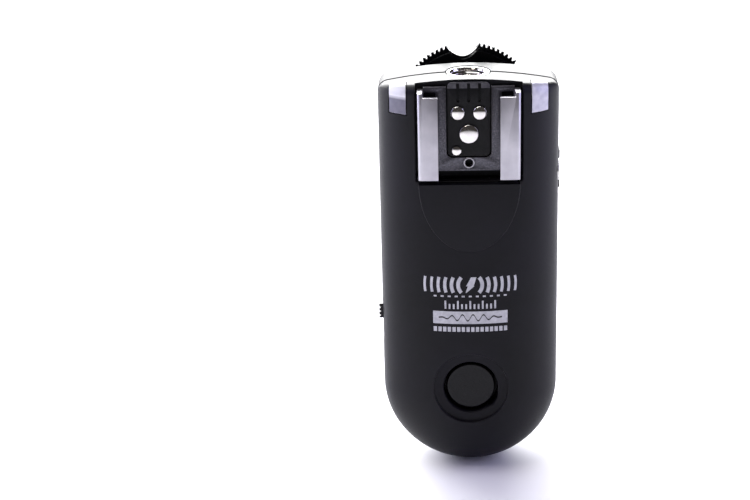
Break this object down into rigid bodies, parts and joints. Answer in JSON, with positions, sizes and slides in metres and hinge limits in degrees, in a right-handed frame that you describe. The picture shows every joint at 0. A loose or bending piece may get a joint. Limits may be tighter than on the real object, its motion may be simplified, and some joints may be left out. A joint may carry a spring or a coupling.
{
  "type": "wireless flash trigger",
  "caption": "Handheld radio flash trigger: crowned casing with a hot shoe on its front, a shutter button, a sync socket in its end, a side switch and a locking foot on its back.",
  "frame": {"origin": "middle of the foot plate's outer face, the face that goes into a camera's hot shoe", "axes": "+Z along the casing towards its flat, socket end; +Y out of the back, out of the foot; -Y is the hot-shoe face; +X to the right seen from the hot-shoe face"},
  "size_m": [0.0402, 0.0357, 0.0935],
  "materials": {
    "black_plastic": "fine matte moulded ABS, black with a faint violet cast",
    "gloss_plastic": "smooth black ABS, semi-gloss",
    "inner_plastic": "moulded black nylon",
    "nickel_steel": "satin nickel plate on stamped steel",
    "bright_metal": "bright nickel plate",
    "clear_window": "clear polycarbonate",
    "lamp_red": "tinted epoxy",
    "circuit_board": "green solder mask on glass laminate",
    "copper_wire": "enamelled wire",
    "battery_wrap": "printed sleeve, plain",
    "rubber_pad": "soft moulded rubber",
    "white_plastic": "moulded white nylon"
  },
  "bodies": {
    "casing": {"front_shell": "black_plastic", "back_shell": "black_plastic", "contact_block": "inner_plastic", "button_switch": "inner_plastic", "power_switch_body": "inner_plastic", "remote_jack_body": "inner_plastic", "sync_socket_insulator": "inner_plastic", "controller_chip": "inner_plastic", "storage_capacitor": "inner_plastic", "channel_switch_body": "inner_plastic", "foot_insert": "inner_plastic", "shoe_plate": "nickel_steel", "remote_jack_ring": "nickel_steel", "radio_module": "nickel_steel", "crystal": "nickel_steel", "case_screw_1": "nickel_steel", "case_screw_2": "nickel_steel", "case_screw_3": "nickel_steel", "case_screw_4": "nickel_steel", "foot_stem": "nickel_steel", "shoe_contact_main": "bright_metal", "shoe_contact_left": "bright_metal", "shoe_contact_right": "bright_metal", "shoe_contact_dot": "bright_metal", "sync_socket_shell": "bright_metal", "sync_socket_pin": "bright_metal", "battery_spring_left": "bright_metal", "battery_spring_right": "bright_metal", "battery_contact_left": "bright_metal", "battery_contact_right": "bright_metal", "foot_plate": "bright_metal", "foot_pin_spring": "bright_metal", "light_window_left": "clear_window", "light_window_right": "clear_window", "lamp_left": "lamp_red", "lamp_right": "lamp_red", "main_board": "circuit_board", "channel_board": "circuit_board", "antenna_wire": "copper_wire", "battery_left": "battery_wrap", "battery_right": "battery_wrap", "button_return_pad": "rubber_pad"},
    "button": {"shutter_button": "gloss_plastic"},
    "power_switch": {"power_switch_knob": "gloss_plastic"},
    "door": {"battery_door": "black_plastic"},
    "clamp": {"clamp_washer": "nickel_steel", "lock_pin": "bright_metal"},
    "wheel": {"locking_wheel": "gloss_plastic"},
    "foot_pin_main_body": {"foot_pin_main": "bright_metal"},
    "foot_pin_left_body": {"foot_pin_left": "bright_metal"},
    "foot_pin_right_body": {"foot_pin_right": "bright_metal"},
    "foot_pin_dot_body": {"foot_pin_dot": "bright_metal"},
    "channel_1": {"channel_slider_1": "white_plastic"},
    "channel_2": {"channel_slider_2": "white_plastic"},
    "channel_3": {"channel_slider_3": "white_plastic"},
    "channel_4": {"channel_slider_4": "white_plastic"}
  },
  "joints": [
    {"name": "shutter_press", "type": "slide", "parent": "casing", "child": "button", "axis": [0, 1, 0], "range_m": [0, 0.0008], "stiffness_N_per_m": 1200, "springref_m": -0.0004, "deforming": ["button_return_pad"]},
    {"name": "power_slide", "type": "slide", "parent": "casing", "child": "power_switch", "axis": [0, 0, 1], "range_m": [-0.005, 0]},
    {"name": "door_slide", "type": "slide", "parent": "casing", "child": "door", "axis": [0, 0, -1], "range_m": [0, 0.052]},
    {"name": "clamp_rise", "type": "slide", "parent": "casing", "child": "clamp", "axis": [0, 1, 0], "range_m": [0, 0.003]},
    {"name": "wheel_turn", "type": "hinge", "parent": "clamp", "child": "wheel", "pos_m": [0, 0, 0], "axis": [0, 1, 0], "range_deg": [0, 720]},
    {"name": "foot_pin_main_press", "type": "slide", "parent": "casing", "child": "foot_pin_main_body", "axis": [0, -1, 0], "range_m": [0, 0.0006], "stiffness_N_per_m": 400, "springref_m": -0.0005, "deforming": ["foot_pin_spring"]},
    {"name": "foot_pin_left_press", "type": "slide", "parent": "casing", "child": "foot_pin_left_body", "axis": [0, -1, 0], "range_m": [0, 0.0006], "stiffness_N_per_m": 400, "springref_m": -0.0005},
    {"name": "foot_pin_right_press", "type": "slide", "parent": "casing", "child": "foot_pin_right_body", "axis": [0, -1, 0], "range_m": [0, 0.0006], "stiffness_N_per_m": 400, "springref_m": -0.0005},
    {"name": "foot_pin_dot_press", "type": "slide", "parent": "casing", "child": "foot_pin_dot_body", "axis": [0, -1, 0], "range_m": [0, 0.0006], "stiffness_N_per_m": 400, "springref_m": -0.0005},
    {"name": "channel_1_slide", "type": "slide", "parent": "casing", "child": "channel_1", "axis": [0, 0, 1], "range_m": [0, 0.0014]},
    {"name": "channel_2_slide", "type": "slide", "parent": "casing", "child": "channel_2", "axis": [0, 0, 1], "range_m": [0, 0.0014]},
    {"name": "channel_3_slide", "type": "slide", "parent": "casing", "child": "channel_3", "axis": [0, 0, 1], "range_m": [0, 0.0014]},
    {"name": "channel_4_slide", "type": "slide", "parent": "casing", "child": "channel_4", "axis": [0, 0, 1], "range_m": [0, 0.0014]}
  ],
  "couplings": [
    {"joint": "wheel_turn", "follows": "clamp_rise", "rad_per_m": 4188.8}
  ]
}
